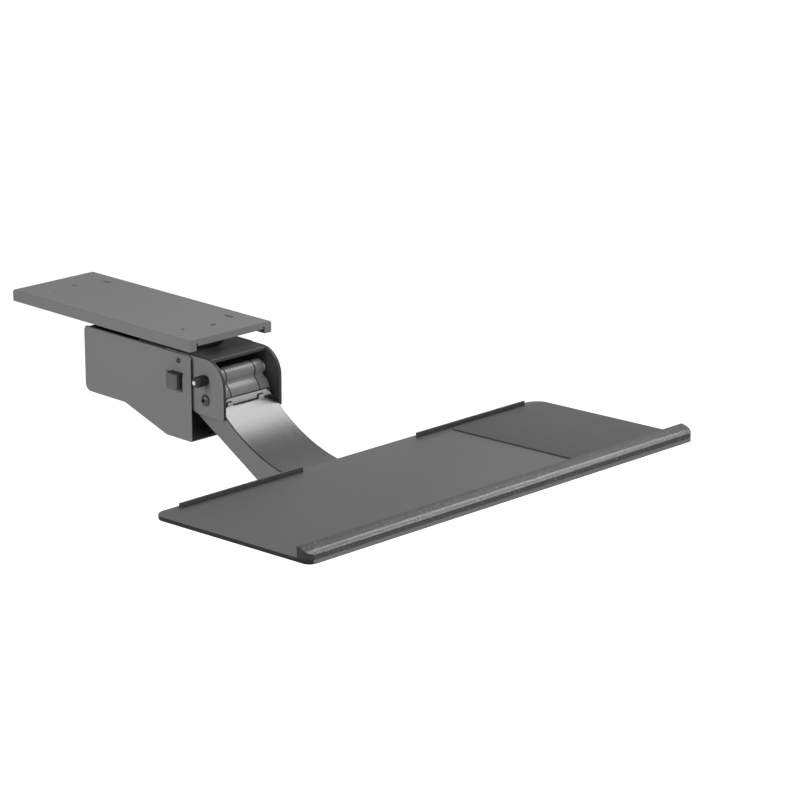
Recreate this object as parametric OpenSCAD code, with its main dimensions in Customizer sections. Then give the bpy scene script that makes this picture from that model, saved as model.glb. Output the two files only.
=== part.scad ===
// Keyboard tray on a sliding, swivelling and height-adjustable arm, fixed under a desk top.
// Millimetres. Origin at the centre of the track's desk face, +X right, +Y away from the user, +Z up.

/* [Track] */
// Length of the track
track_len = 356; // [320:1:560]
// Width over the two side flanges
track_w = 139; // [130:1:150]
// Sheet thickness of the track
track_t = 2.5; // [2:0.1:3]
// Height of the side flanges
track_h = 15; // [14:0.5:18]
// Width of the inward lips that carry the carriage
track_lip = 9; // [7:0.5:11]
// Height of the short front flange
front_flange_h = 9; // [6:0.5:12]
// Width of the slit between an end flange and each of its corner feet
flange_slit_w = 2.5; // [2:0.5:4]
// Diameter of the small screw holes
screw_hole_d = 5.5; // [4:0.1:6.5]
// Distance of the small screw holes from the middle of the track
screw_row_x = 38; // [30:1:44]
// Spacing of the small screw holes along the track
screw_pitch = 129; // [120:1:130]
// Diameter of the larger access holes
access_hole_d = 8; // [6:0.5:10]
// Width of the screw slots
slot_w = 6; // [5:0.5:7]
// Length of the screw slots, end to end
slot_len = 18; // [12:1:24]
// Distance of the screw slots from the middle of the track
slot_x = 46; // [40:1:48]
// Distance from a track end to its slide stop
stop_inset = 11.7; // [8:0.1:20]
// Length of a slide stop along the track
stop_d = 14; // [10:1:18]
// Width of a slide stop
stop_w = 44; // [30:1:60]
// Height of a slide stop
stop_h = 9; // [8:0.5:11]

/* [Carriage] */
// Length of the carriage plate along the track
carriage_len = 104; // [90:1:120]
// Width of the carriage plate
carriage_w = 120; // [112:1:122]
// Thickness of the carriage plate
carriage_t = 3.5; // [3:0.1:4]
// Room for screw heads between the track and the carriage plate
screw_head_room = 3; // [2.5:0.1:3.5]
// Diameter of the pressed cup under the carriage plate
cup_d = 76; // [70:1:80]
// Depth of the pressed cup
cup_drop = 13; // [11:0.5:16]
// Wall of the pressed cup
cup_t = 2.5; // [2:0.1:3]
// Diameter of the swivel bearing
bearing_d = 84; // [78:1:88]
// Thickness of the swivel bearing
bearing_t = 4; // [3:0.5:6]
// Diameter of the swivel bolt
swivel_bolt_d = 12; // [10:0.5:14]
// Radius at which the swivel stop pin stands
swivel_stop_r = 30; // [26:0.5:31]
// Diameter of the swivel stop pin
swivel_stop_d = 6; // [5:0.5:7]
// Swivel angle to each side
swivel_range = 90; // [60:1:90]

/* [Head] */
// Distance from the swivel axis forward to the arm pivot
pivot_reach = 84.5; // [80:0.5:90]
// Drop from the top of the head to the arm pivot
pivot_drop = 53.7; // [50:0.1:58]
// Outer width of the black head frame
frame_w = 96.2; // [92:0.2:98]
// Sheet thickness of the head frame
frame_t = 2.5; // [2:0.1:3]
// How far the frame walls reach in front of the arm pivot
frame_nose = 33.5; // [32:0.5:37]
// How far the frame walls reach below the arm pivot
frame_drop = 21; // [18:0.5:22]
// Radius of the rounded upper front corner of the frame walls
nose_r = 34; // [24:1:38]
// Height of the lip folded down along the front of the head's top plate
plate_lip_h = 5; // [4:0.5:8]
// Thickness of the grey cheek plates
cheek_t = 1.6; // [1.2:0.1:2]
// Gap between the cheek plates and the housing
housing_gap = 2.7; // [2:0.1:6]
// Sheet thickness of the housing
housing_t = 1.6; // [1.2:0.1:2]
// Height of the housing at its front edge
housing_h = 113.2; // [108:0.2:120]
// Length of the housing
housing_len = 211; // [190:1:230]
// Length of the deepest, flat part of the housing floor
housing_flat = 50; // [40:1:60]
// Length of the sloping part of the housing floor
housing_slope = 81.5; // [70:0.5:90]
// Height that the sloping part of the housing floor gains
housing_rise = 25.8; // [20:0.2:30]

/* [Pivot and lock] */
// Rise from the arm pivot to the lock shaft
lock_rise = 26.5; // [26:0.1:28]
// Diameter of the pivot bolt and the lock shaft
shaft_d = 8; // [7:0.5:9]
// Outer diameter of the pivot sleeve
sleeve_d = 16; // [14:0.5:17]
// Diameter of the button head of the pivot bolt
pivot_head_d = 14.7; // [13:0.1:16]
// Height of the button head of the pivot bolt
pivot_head_h = 5.4; // [3:0.1:6]
// Diameter of the lock knob
knob_d = 14.4; // [13:0.2:20]
// Length of the lock knob
knob_len = 18; // [10:0.5:20]
// Radius of the brake cams
cam_r = 9; // [8:0.1:9.5]
// Offset of the brake cams on the lock shaft
cam_throw = 1.2; // [0.8:0.1:1.5]
// Outer diameter of the counterbalance springs
spring_d = 34; // [30:0.5:35]
// Wire diameter of the counterbalance springs
spring_wire = 3; // [2.6:0.1:3.2]
// Number of coils of each counterbalance spring
spring_turns = 5; // [3:1:5]
// Radius of the pivot cover round the lock shaft
cover_upper_r = 11; // [10.6:0.1:13]
// Radius of the pivot cover round the arm pivot
cover_lower_r = 20; // [19.7:0.1:20.6]
// Wall of the pivot cover
cover_t = 1.8; // [1.2:0.1:2]
// Half width of the middle segment of the pivot cover
cover_split_x = 24.4; // [20:0.2:26]
// Wall of the hinge guard
guard_t = 1.5; // [1:0.1:1.6]
// Angle below the horizontal at which the hinge guard ends
guard_end = 60; // [50:1:65]

/* [Arm] */
// Distance between the arm's pivot and its tip pin
arm_chord = 264.7; // [240:0.5:300]
// Angle of that distance below the horizontal
arm_droop = 15.6; // [12:0.1:18]
// Gap between the arm and each wall of the head frame
arm_side_gap = 0.8; // [0.4:0.1:1]
// Sheet thickness of the arm
arm_t = 2.2; // [1.8:0.1:2.4]
// Radius of the arm's concave top
arm_top_r = 228; // [210:1:300]
// Height of the arm's top over its pivot
arm_crown = 11; // [9:0.5:12]
// Radius of the arm's round end at the pivot
arm_heel_r = 31; // [29:0.5:32]
// Radius of the arm's round end at the tip
arm_tip_r = 14; // [12:0.5:15]
// Slope of the straight part of the arm's lower edge
arm_slope = 29.6; // [28:0.1:31]
// Length of the straight part of the arm's lower edge
arm_straight = 121; // [110:1:125]
// Radius of the arm's belly
arm_belly_r = 110; // [90:1:120]
// Thickness of the arm's top cover
arm_cover_t = 2; // [1.6:0.1:2.4]
// Distance of the arm cover's upper edge from the pivot
arm_cover_r = 24.4; // [23.8:0.1:26]

/* [Levelling link] */
// Offset of the link pins behind the arm pins
link_back = 3; // [0:0.5:4]
// Offset of the link pins below the arm pins
link_drop = 18; // [17:0.5:19]
// Depth of the link bar
link_h = 10; // [8:0.5:11]
// Thickness of the link bar
link_t = 8; // [6:0.5:8]
// Bow of the link bar out of a straight line
link_bow = 23; // [20:0.5:25]
// Diameter of the link pins
link_pin_d = 6; // [5:0.5:7]

/* [Tilt head] */
// Distance from the tip pin forward to the tilt bolt
tilt_forward = 27; // [26:0.5:32]
// Rise from the tip pin to the tilt bolt
tilt_up = 10; // [8:0.5:12]
// Sheet thickness of the tilt head and of the tray bracket
bracket_t = 3; // [2.5:0.1:3.4]
// Thickness of the friction washers of the tilt joint
washer_t = 0.7; // [0.5:0.1:1.2]
// Width of the tray bracket's plate
bracket_w = 200; // [160:1:260]
// Depth of the tray bracket's plate
bracket_d = 100; // [90:1:105]

/* [Tray] */
// Width of the tray board
board_w = 656; // [560:1:760]
// Depth of the tray board
board_d = 269.6; // [260:0.2:290]
// Thickness of the tray board
board_t = 5; // [4:0.5:8]
// Radius of the board's corners
board_r = 20; // [10:1:30]
// Tilt of the tray at rest, back edge down
board_tilt = 2; // [0:0.5:5]
// Distance from the tray's front edge back to the tilt bolt
tilt_pin_back = 206.2; // [203:0.2:215]
// Distance from the tray's top down to the tilt bolt
tilt_pin_drop = 30.8; // [30:0.1:34]
// Depth of the palm rest
palm_d = 21; // [18:0.5:40]
// Height of the palm rest at its front
palm_front_h = 7; // [6:0.1:10]
// Height of the palm rest at its rear
palm_h = 13.6; // [11:0.1:18]
// Height of the rear lips
lip_h = 5.8; // [3:0.1:8]
// Thickness of the rear lips
lip_t = 3; // [2:0.1:4]
// Half width of the cable gap between the rear lips
lip_gap_x = 97; // [60:0.5:140]
// Distance from the board's side edge to the outer end of a rear lip
lip_side_inset = 33; // [26:1:60]
// Offset of both lips and of their gap to the right
lip_shift = 4.5; // [0:0.5:6]
// Left edge of the mouse mat from the middle of the tray
mat_x = 155; // [120:1:200]
// Thickness of the mouse mat
mat_t = 1.5; // [1:0.1:3]

/* [Hidden] */
$fn = 72;

// Clearance between pieces that slide or turn on one another
run_gap = 0.3;
// Radial clearance of a pin in its bore
pin_gap = 0.06;
// Gap that keeps the arm's walls clear of the curved cover that lies on them
seat_gap = 0.06;
// Across flats of the nuts and of the hexagon head on the pivot and tilt bolts
hex_across = 13;
hex_nut_h = 6.5;
// Reach behind the arm pivot of the cheek plates
cheek_reach = 74;
// Starts of the head's top plate and of the housing, from the arm pivot
top_plate_lead = 7.8;
housing_lag = 23.2;
// Place of the housing screws, from the housing's front and top edges, and of the studs behind them
housing_screw_in = [23, 9];
housing_stud_in = [14, 26];
// Shank of the housing screws and of the bracket screws
screw_d = 4;
// Chamfered upper corners of the arm cover, across and along the arm
cover_corner = [3.2, 12];
// Left sides, height, and widths at the top and at the root of the arm cover's slanted fingers
cover_finger_x = [-34, 19];
cover_finger_h = 5.5;
cover_finger_w = [5.5, 10];
// Cut corners of the hinge guard, across and down
guard_corner = [10, 7];
// Block-shaped clip on the left of the housing
clip_in = [17, 46];
clip_w = 18;
clip_h = 20;
clip_d = 8;
// Waist between the two barrels of the pivot cover
waist_round = 5;
// Distance of the rear lips from the board's back edge
lip_inset = 8.6;
// Rings and sides of the spring wire
spring_steps = 12;
spring_sides = 6;

// Track and carriage levels
wall_x = track_w / 2 - track_t;
lip_top = -track_h + track_t;
plate_top = -track_t - screw_head_room;
plate_low = plate_top - carriage_t;
cup_low = plate_low - cup_drop;
cup_floor = cup_low + cup_t;
bearing_low = cup_low - bearing_t;
carriage_front = -track_len / 2 + stop_inset + stop_d + run_gap;
carriage_back = carriage_front + carriage_len;
slide_range = track_len / 2 - stop_inset - stop_d - run_gap - carriage_back;
swivel_y = carriage_front + carriage_len / 2;
foot_x = wall_x - track_lip;
slit_top = flange_slit_w - front_flange_h;
rivet_x = stop_w * 0.28;
rivet_d = 4;
swivel_nut_h = swivel_bolt_d * 0.8;

// Head levels
head_top = bearing_low - run_gap;
frame_x = frame_w / 2;
arm_w = frame_w - 2 * frame_t - 2 * arm_side_gap;
cheek_x = frame_x + cheek_t;
housing_in = cheek_x + housing_gap;
housing_rim_x = cheek_x + 0.4;
housing_x = housing_in + housing_t;
pivot = [swivel_y - pivot_reach, head_top - pivot_drop];
lock = pivot + [0, lock_rise];
nose_y = pivot[0] - frame_nose;
wall_low = pivot[1] - frame_drop;
knee_y = nose_y + frame_nose * 1.5;
frame_back = swivel_y + bearing_d / 2 + 6;
cheek_back = pivot[0] + cheek_reach;
top_plate_front = pivot[0] - top_plate_lead;
housing_front = pivot[0] + housing_lag;
housing_top = head_top - 1;
housing_low = housing_top - housing_h;
housing_screw = [housing_front + housing_screw_in[0], housing_top - housing_screw_in[1]];
housing_stud = [cheek_back - housing_stud_in[0], housing_top - housing_stud_in[1]];
clip_y = housing_front + clip_in[0];
clip_z = housing_top - clip_in[1];
seam_z = pivot[1] + cover_lower_r * sin(8);
cover_end_x = arm_w / 2 - arm_t - 0.6;
segment_gap = 0.4;
cover_rear = pivot[0] + 2;
rib_t = 2;
guard_r = cover_lower_r + 0.7;
spring_r = (spring_d - spring_wire) / 2;
spring_in_x = 12;
spring_out_x = cover_end_x - 4.4;
spring_bar_d = 6;
spring_leg = 20;
spring_bar = pivot + [16.5, spring_r + (spring_wire + spring_bar_d) / 2 + 0.05];
lug_in_x = link_t / 2 + 1;
lug_t = 3;
hub_r = lock_rise - cam_r - cam_throw - run_gap;
bush_d = sleeve_d + 4;

// Arm
tip = pivot - arm_chord * [cos(arm_droop), sin(arm_droop)];
arm_top_c = meet(pivot, arm_top_r + arm_crown, tip, arm_top_r + arm_tip_r);
heel_low = pivot + arm_heel_r * [sin(arm_slope), -cos(arm_slope)];
belly_start = heel_low - arm_straight * [cos(arm_slope), sin(arm_slope)];
belly_c = belly_start + arm_belly_r * [-sin(arm_slope), cos(arm_slope)];
belly_end = tangent_angle(belly_c, arm_belly_r, tip, arm_tip_r);
arm_in = arm_w / 2 - arm_t;
tip_head_play = 0.6;
cover_start = cover_start_angle(arm_cover_r);
web_end = belly_end + 8;

// Levelling link and tilt head
link_offset = [link_back, -link_drop];
link_rear = pivot + link_offset;
link_front = tip + link_offset;
tilt = tip + [-tilt_forward, tilt_up];
head_out = arm_in - tip_head_play;
head_in = head_out - bracket_t;
ear_out = head_in - washer_t - 0.1;
ear_r = 8.5;
tilt_eye_r = 12;
tip_eye_r = arm_tip_r - 1;
link_eye_r = 8;

// Tray
tray_front = [tilt[0] - tilt_pin_back * cos(board_tilt) + tilt_pin_drop * sin(board_tilt),
              tilt[1] + tilt_pin_back * sin(board_tilt) + tilt_pin_drop * cos(board_tilt)];
bracket_top = -board_t;
bracket_y = tilt_pin_back - 10;
lip_y = board_d - lip_inset;
screw_places = [for (x = [-1, 1], y = [-1, 1])
    [x * (bracket_w / 2 - 15), bracket_y + y * (bracket_d / 2 - 15)]];

function arc(c, r, from, to, steps = 16) =
    [for (i = [0 : steps]) let (a = from + (to - from) * i / steps) c + r * [cos(a), sin(a)]];
function heading(v) = atan2(v[1], v[0]);
// Point at distance rp from p and rq from q, on the left of the way from p to q seen from +X
function meet(p, rp, q, rq) =
    let (d = norm(q - p), along = (d * d + rp * rp - rq * rq) / (2 * d),
         up = sqrt(rp * rp - along * along), e = (q - p) / d)
    p + along * e + up * [e[1], -e[0]];
// Direction of the outer tangent's normal for two circles, the bigger one first
function tangent_angle(c1, r1, c2, r2) = heading(c2 - c1) + acos((r1 - r2) / norm(c2 - c1));
// Angle on the arm's top curve at which it comes within r of the pivot
function cover_start_angle(r) =
    heading(meet(arm_top_c, arm_top_r, pivot, r) - arm_top_c);
function rounded_rect(x0, y0, x1, y1, r) = concat(
    arc([x1 - r, y1 - r], r, 0, 90, 8), arc([x0 + r, y1 - r], r, 90, 180, 8),
    arc([x0 + r, y0 + r], r, 180, 270, 8), arc([x1 - r, y0 + r], r, 270, 360, 8));

// Extrudes an outline drawn in Y and Z from x0 along X
module side_plate(x0, t) translate([x0, 0, 0]) rotate([90, 0, 90]) linear_extrude(t) children();
module rod(p, d, x0, x1) translate([x0, p[0], p[1]]) rotate([0, 90, 0]) cylinder(d = d, h = x1 - x0);
module pair() {
    children();
    mirror([1, 0, 0]) children();
}
module hexagon(across, h) cylinder(d = across / cos(30), h = h, $fn = 6);
module rod_hexagon(p, across, x0, x1)
    translate([x0, p[0], p[1]]) rotate([0, 90, 0]) hexagon(across, x1 - x0);

// Track
module track_section() {
    pair() polygon([[0, 0], [track_w / 2 - 2, 0], [track_w / 2, -2], [track_w / 2, -track_h],
                    [wall_x - track_lip, -track_h], [wall_x - track_lip, lip_top], [wall_x, lip_top],
                    [wall_x, -track_t], [0, -track_t]]);
}
// An end flange with a foot at each corner that covers the end of the carriage lip
module flange_outline() pair() polygon([
    [0, 0], [track_w / 2 - 2, 0], [track_w / 2, -2], [track_w / 2, -track_h], [foot_x, -track_h],
    [foot_x, slit_top], [foot_x - flange_slit_w, slit_top], [foot_x - flange_slit_w, -front_flange_h],
    [0, -front_flange_h]]);
module slot(x, y, length, width) {
    for (end = [-1, 1])
        translate([x, y + end * (length - width) / 2, -track_h]) cylinder(d = width, h = track_h + 1);
    translate([x - width / 2, y - (length - width) / 2, -track_h])
        cube([width, length - width, track_h + 1]);
}
module track() color([0.5, 0.5, 0.5]) {
    difference() {
        union() {
            translate([0, track_len / 2, 0]) rotate([90, 0, 0]) linear_extrude(track_len) track_section();
            for (end = [-1, 1]) translate([0, end * (track_len - track_t) / 2 + track_t / 2, 0])
                rotate([90, 0, 0]) linear_extrude(track_t) flange_outline();
        }
        pair() translate([foot_x - flange_slit_w / 2, track_len, slit_top]) rotate([90, 0, 0])
            cylinder(d = flange_slit_w, h = 2 * track_len);
        for (row = [-1, 0, 1]) translate([-screw_row_x, row * screw_pitch, -track_h])
            cylinder(d = screw_hole_d, h = track_h + 1);
        for (end = [-1, 1]) {
            slot(slot_x, end * (screw_pitch - 6.5), slot_len, slot_w);
            translate([4, end * (screw_pitch + 10.5), -track_h])
                cylinder(d = access_hole_d, h = track_h + 1);
        }
    }
}
function stop_y() = track_len / 2 - stop_inset - stop_d / 2;
module stop(end) {
    difference() {
        translate([-stop_w / 2, end * stop_y() - stop_d / 2, -track_t - stop_h])
            cube([stop_w, stop_d, stop_h]);
        pair() translate([rivet_x, end * stop_y(), -track_h]) cylinder(d = rivet_d, h = track_h);
    }
}
module front_stop() color([0.1, 0.1, 0.1]) stop(-1);
module rear_stop() color([0.1, 0.1, 0.1]) stop(1);
module stop_rivets() color([0.7, 0.7, 0.72])
    for (end = [-1, 1]) pair() translate([rivet_x, end * stop_y(), 0]) {
        translate([0, 0, -track_t - stop_h]) cylinder(d = rivet_d, h = stop_h);
        translate([0, 0, -track_t - stop_h - 1.4]) cylinder(d1 = rivet_d, d2 = rivet_d * 2, h = 1.4);
    }

// Carriage
module carriage_plate() color([0.6, 0.6, 0.62])
    difference() {
        union() {
            translate([0, 0, plate_low]) linear_extrude(carriage_t)
                polygon(rounded_rect(-carriage_w / 2, carriage_front, carriage_w / 2, carriage_back, 6));
            translate([0, swivel_y, cup_low]) cylinder(d = cup_d, h = plate_top - cup_low);
        }
        translate([0, swivel_y, cup_floor]) cylinder(d = cup_d - 2 * cup_t, h = plate_top - cup_floor + 1);
        translate([0, swivel_y, cup_low - 1]) cylinder(d = swivel_bolt_d, h = cup_t + 2);
        translate([0, swivel_y + swivel_stop_r, cup_low - 1]) cylinder(d = swivel_stop_d, h = cup_t + 2);
    }
module glide_section() {
    jaw = 8;
    edge = carriage_w / 2;
    difference() {
        polygon([[edge - jaw, -track_t - run_gap], [wall_x - run_gap - 1, -track_t - run_gap],
                 [wall_x - run_gap, -track_t - run_gap - 1], [wall_x - run_gap, lip_top + run_gap],
                 [edge - jaw, lip_top + run_gap]]);
        translate([edge - jaw - 1, plate_low]) square([jaw + 1, carriage_t]);
    }
}
module glide_right() color([0.85, 0.85, 0.82])
    translate([0, carriage_back, 0]) rotate([90, 0, 0]) linear_extrude(carriage_len) glide_section();
module glide_left() mirror([1, 0, 0]) glide_right();
module swivel_bearing() color([0.15, 0.15, 0.15])
    difference() {
        translate([0, swivel_y, bearing_low]) cylinder(d = bearing_d, h = bearing_t);
        translate([0, swivel_y, bearing_low - 1]) cylinder(d = swivel_bolt_d, h = bearing_t + 2);
        translate([0, swivel_y + swivel_stop_r, bearing_low - 1])
            cylinder(d = swivel_stop_d, h = bearing_t + 2);
    }
module swivel_bolt() color([0.7, 0.7, 0.72])
    translate([0, swivel_y, 0]) {
        translate([0, 0, cup_floor]) hexagon(swivel_bolt_d * 1.5, swivel_bolt_d * 0.6);
        bolt_low = head_top - frame_t - run_gap - swivel_nut_h - 3;
        translate([0, 0, bolt_low]) cylinder(d = swivel_bolt_d, h = cup_floor - bolt_low);
    }
module swivel_nut() color([0.7, 0.7, 0.72])
    translate([0, swivel_y, head_top - frame_t - run_gap - swivel_nut_h]) difference() {
        union() {
            hexagon(swivel_bolt_d * 1.5, swivel_nut_h);
            translate([0, 0, swivel_nut_h - 1.5]) cylinder(d = swivel_bolt_d * 2, h = 1.5);
        }
        translate([0, 0, -1]) cylinder(d = swivel_bolt_d, h = swivel_nut_h + 2);
    }
module swivel_stop_pin() color([0.7, 0.7, 0.72])
    translate([0, swivel_y + swivel_stop_r, head_top - frame_t])
        cylinder(d = swivel_stop_d, h = cup_floor + 1 - head_top + frame_t);

// Head
function wall_outline(back, back_low, back_r) = concat(
    arc([nose_y + 4, wall_low + 4], 4, 180, 270, 6), [[knee_y, wall_low]],
    arc([back - back_r, back_low + back_r], back_r, 290, 360, 6), [[back, head_top]],
    arc([nose_y + nose_r, head_top - nose_r], nose_r, 90, 180, 20));
module top_plate_outline() polygon(concat(
    arc([top_plate_front + 3, head_top - 3], 3, 90, 180, 6),
    [[top_plate_front, head_top - plate_lip_h], [top_plate_front + frame_t, head_top - plate_lip_h],
     [top_plate_front + frame_t, head_top - frame_t], [frame_back, head_top - frame_t],
     [frame_back, head_top]]));
module shaft_bores(x0, x1) {
    for (axis = [pivot, lock]) rod(axis, shaft_d + 2 * pin_gap, x0, x1);
    rod(housing_screw, screw_d, x0, x1);
    rod(housing_stud, screw_d, x0, x1);
}
module head_frame() color([0.12, 0.12, 0.13])
    difference() {
        intersection() {
            union() {
                pair() side_plate(frame_x - frame_t, frame_t)
                    polygon(wall_outline(frame_back, pivot[1] + 20, 12));
                side_plate(-frame_x, frame_w) top_plate_outline();
            }
            translate([0, frame_back, 0]) rotate([90, 0, 0]) linear_extrude(frame_back - nose_y)
                polygon(rounded_rect(-frame_x, wall_low - 20, frame_x, head_top, 3));
        }
        shaft_bores(-frame_x - 1, frame_x + 1);
        rod(spring_bar, spring_bar_d - 2, -frame_x - 1, frame_x + 1);
        translate([0, swivel_y, head_top - 5]) {
            cylinder(d = swivel_bolt_d + 2 * pin_gap, h = 6);
            linear_extrude(6) swivel_slot();
        }
    }
module swivel_slot() {
    w = swivel_stop_d + 1;
    polygon(concat(arc([0, 0], swivel_stop_r + w / 2, 90 - swivel_range, 90 + swivel_range, 32),
                   arc([0, 0], swivel_stop_r - w / 2, 90 + swivel_range, 90 - swivel_range, 32)));
    for (a = [90 - swivel_range, 90 + swivel_range])
        translate(swivel_stop_r * [cos(a), sin(a)]) circle(d = w);
}
module cheek_right() color([0.45, 0.45, 0.46])
    difference() {
        side_plate(frame_x, cheek_t) polygon(wall_outline(cheek_back, pivot[1] - 2, 8));
        shaft_bores(frame_x - 1, cheek_x + 1);
    }
module cheek_left() mirror([1, 0, 0]) cheek_right();
function housing_floor(lift) = [
    [housing_flat, lift], [housing_flat + housing_slope, housing_rise + lift],
    [housing_len, housing_rise + lift]];
module housing() color([0.5, 0.5, 0.5]) {
    corner = 5;
    difference() {
        side_plate(-housing_x, 2 * housing_x) translate([housing_front, housing_low]) polygon(concat(
            arc([2, 2], 2, 180, 270, 4), [for (p = housing_floor(0)) if (p[0] < housing_len) p],
            arc([housing_len - 10, housing_rise + 10], 10, 270, 360, 8),
            arc([housing_len - corner, housing_h - corner], corner, 0, 90, 6),
            arc([corner, housing_h - corner], corner, 90, 180, 6)));
        side_plate(-housing_in, 2 * housing_in) translate([housing_front, housing_low]) polygon(concat(
            [[-1, housing_t]], [for (p = housing_floor(housing_t * 1.04)) if (p[0] < housing_len) p],
            arc([housing_len - 10, housing_rise + 10], 10 - housing_t, 270, 360, 8),
            [[housing_len - housing_t, housing_h + 1], [-1, housing_h + 1]]));
        pair() rod(housing_screw, screw_d, housing_in - 1, housing_x + 1);
    }
    // Rims folded inwards along the tops of the two sides
    pair() translate([housing_rim_x, housing_front + corner, housing_top - housing_t])
        cube([housing_in + 0.5 - housing_rim_x, housing_len - corner - housing_t + 0.5, housing_t]);
}
module housing_spacers() color([0.65, 0.65, 0.67])
    pair() {
        difference() {
            rod(housing_screw, 10, cheek_x, housing_in);
            rod(housing_screw, screw_d, cheek_x - 1, housing_in + 1);
        }
        rod(housing_stud, 10, cheek_x, housing_in);
        rod(housing_stud, screw_d, frame_x - frame_t - 4, cheek_x + 1);
    }
module housing_screws() color([0.25, 0.25, 0.26])
    pair() {
        rod(housing_screw, screw_d, frame_x - frame_t - 4, housing_x);
        difference() {
            translate([housing_x, housing_screw[0], housing_screw[1]]) rotate([0, 90, 0])
                cylinder(d1 = 7, d2 = 4.5, h = 2.4);
            translate([housing_x + 1, housing_screw[0] - 0.5, housing_screw[1] - 2]) cube([2, 1, 4]);
            translate([housing_x + 1, housing_screw[0] - 2, housing_screw[1] - 0.5]) cube([2, 4, 1]);
        }
        for (at = [housing_screw, housing_stud]) difference() {
            rod_hexagon(at, 7, frame_x - frame_t - 3.2, frame_x - frame_t);
            rod(at, screw_d, frame_x - frame_t - 5, frame_x);
        }
    }
module cable_clip() color([0.55, 0.55, 0.55])
    translate([-housing_x, clip_y, clip_z]) {
        translate([-1.5, 0, -4]) cube([1.5, clip_w + 12, clip_h + 4]);
        linear_extrude(clip_h) polygon(concat([[0, 0], [0, clip_w]],
            arc([-clip_d + 3, clip_w - 3], 3, 90, 180, 6), arc([-clip_d + 5, 5], 5, 180, 270, 8)));
    }
module clip_cap() color([0.12, 0.12, 0.12])
    translate([-housing_x, clip_y, clip_z + clip_h]) linear_extrude(2)
        polygon(concat([[0, -1.5], [0, clip_w + 1.5]],
            arc([-clip_d + 2, clip_w - 2], 3.5, 90, 180, 6), arc([-clip_d + 4, 4], 5.5, 180, 270, 8)));

// Pivot, springs and lock
module pivot_bolt() color([0.15, 0.15, 0.16])
    difference() {
        union() {
            rod(pivot, shaft_d, -cheek_x, cheek_x + 9);
            intersection() {
                rod(pivot, pivot_head_d, -cheek_x - pivot_head_h, -cheek_x);
                dome = pivot_head_d * 0.62;
                translate([-cheek_x - pivot_head_h + dome, pivot[0], pivot[1]]) sphere(r = dome);
            }
        }
        rod_hexagon(pivot, 5, -cheek_x - pivot_head_h - 1, -cheek_x - 1);
    }
module pivot_nut() color([0.15, 0.15, 0.16])
    difference() {
        rod_hexagon(pivot, hex_across, cheek_x, cheek_x + hex_nut_h);
        rod(pivot, shaft_d, cheek_x - 1, cheek_x + 8);
    }
module pivot_sleeve() color([0.6, 0.6, 0.62])
    difference() {
        union() {
            rod(pivot, sleeve_d, frame_t - frame_x, frame_x - frame_t);
            pair() side_plate(lug_in_x, lug_t) hull() {
                translate(pivot) circle(r = sleeve_d / 2 + 2.5, $fn = 32);
                translate(link_rear) circle(r = link_pin_d / 2 + 4, $fn = 32);
            }
        }
        rod(pivot, shaft_d, -frame_x, frame_x);
        rod(link_rear, link_pin_d, -frame_x, frame_x);
    }
module rear_link_pin() color([0.7, 0.7, 0.72]) {
    rod(link_rear, link_pin_d, -lug_in_x - lug_t - 1.5, lug_in_x + lug_t + 1.5);
}
module spring_bar() color([0.6, 0.6, 0.62]) {
    rod(spring_bar, spring_bar_d, frame_t - frame_x, frame_x - frame_t);
    rod(spring_bar, spring_bar_d - 2, -frame_x, frame_x);
}

// Round wire spring: close coils with a straight tangential leg at each end
function ring(p, ahead, r) =
    let (t = ahead / norm(ahead), u = cross(t, [1, 0, 0]) / norm(cross(t, [1, 0, 0])), w = cross(t, u))
    [for (k = [0 : spring_sides - 1]) let (a = 360 * k / spring_sides) p + r * (cos(a) * u + sin(a) * w)];
module tube(path, r) {
    last = len(path) - 1;
    rings = [for (i = [0 : last]) ring(path[i], path[min(i + 1, last)] - path[max(i - 1, 0)], r)];
    n = spring_sides;
    polyhedron([for (one = rings) each one], concat(
        [[for (k = [0 : n - 1]) k]], [[for (k = [n - 1 : -1 : 0]) last * n + k]],
        [for (i = [0 : last - 1], k = [0 : n - 1])
            [i * n + k, (i + 1) * n + k, (i + 1) * n + (k + 1) % n]],
        [for (i = [0 : last - 1], k = [0 : n - 1])
            [i * n + k, (i + 1) * n + (k + 1) % n, i * n + (k + 1) % n]]));
}
function spring_wire_path() =
    let (run = spring_out_x - spring_in_x - spring_wire, pitch = run / (spring_turns + 0.5),
         x0 = spring_in_x + spring_wire / 2, count = (spring_turns + 0.5) * spring_steps)
    concat([[x0, pivot[0] + spring_leg, pivot[1] + spring_r]],
           [for (i = [0 : count]) let (a = 90 + 360 * i / spring_steps)
               [x0 + pitch * i / spring_steps, pivot[0] + spring_r * cos(a), pivot[1] + spring_r * sin(a)]],
           [[x0 + run, pivot[0] + spring_leg * 0.7, pivot[1] - spring_r]]);
function least_gap(p, apart, wire) = min([for (i = [0 : len(p) - 1], j = [i + apart : len(p) - 1])
    norm(p[i] - p[j])]) - wire;
echo("least gap of a spring's wire to itself",
     least_gap(spring_wire_path(), spring_steps * 3 / 4, spring_wire));
module spring_right() color([0.35, 0.35, 0.37]) tube(spring_wire_path(), spring_wire / 2);
module spring_left() mirror([1, 0, 0]) spring_right();

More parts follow.
